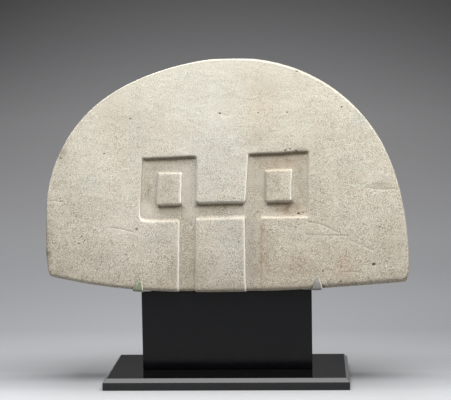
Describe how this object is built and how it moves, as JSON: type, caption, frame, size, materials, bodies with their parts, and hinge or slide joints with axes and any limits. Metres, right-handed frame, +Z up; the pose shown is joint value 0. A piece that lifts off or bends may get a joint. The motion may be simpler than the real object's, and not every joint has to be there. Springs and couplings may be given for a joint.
{
  "type": "human head effigy",
  "caption": "Half-moon stone slab carved with a sunken geometric face, held upright by a block and foot plate with bent clips.",
  "frame": {"origin": "on the table under the base plate, under the middle of the slab", "axes": "+Z up, +X across the face to the viewer's right, -Y the way the face looks"},
  "size_m": [0.4998, 0.173, 0.4456],
  "materials": {
    "stone": "pale buff-grey, finely porous, worn",
    "black_acrylic": "polished",
    "painted_clip": "satin paint, matched to the stone"
  },
  "bodies": {
    "root": {"effigy_slab": "stone", "support_block": "black_acrylic", "base_plate": "black_acrylic", "clip_left": "painted_clip", "clip_right": "painted_clip"}
  },
  "joints": []
}
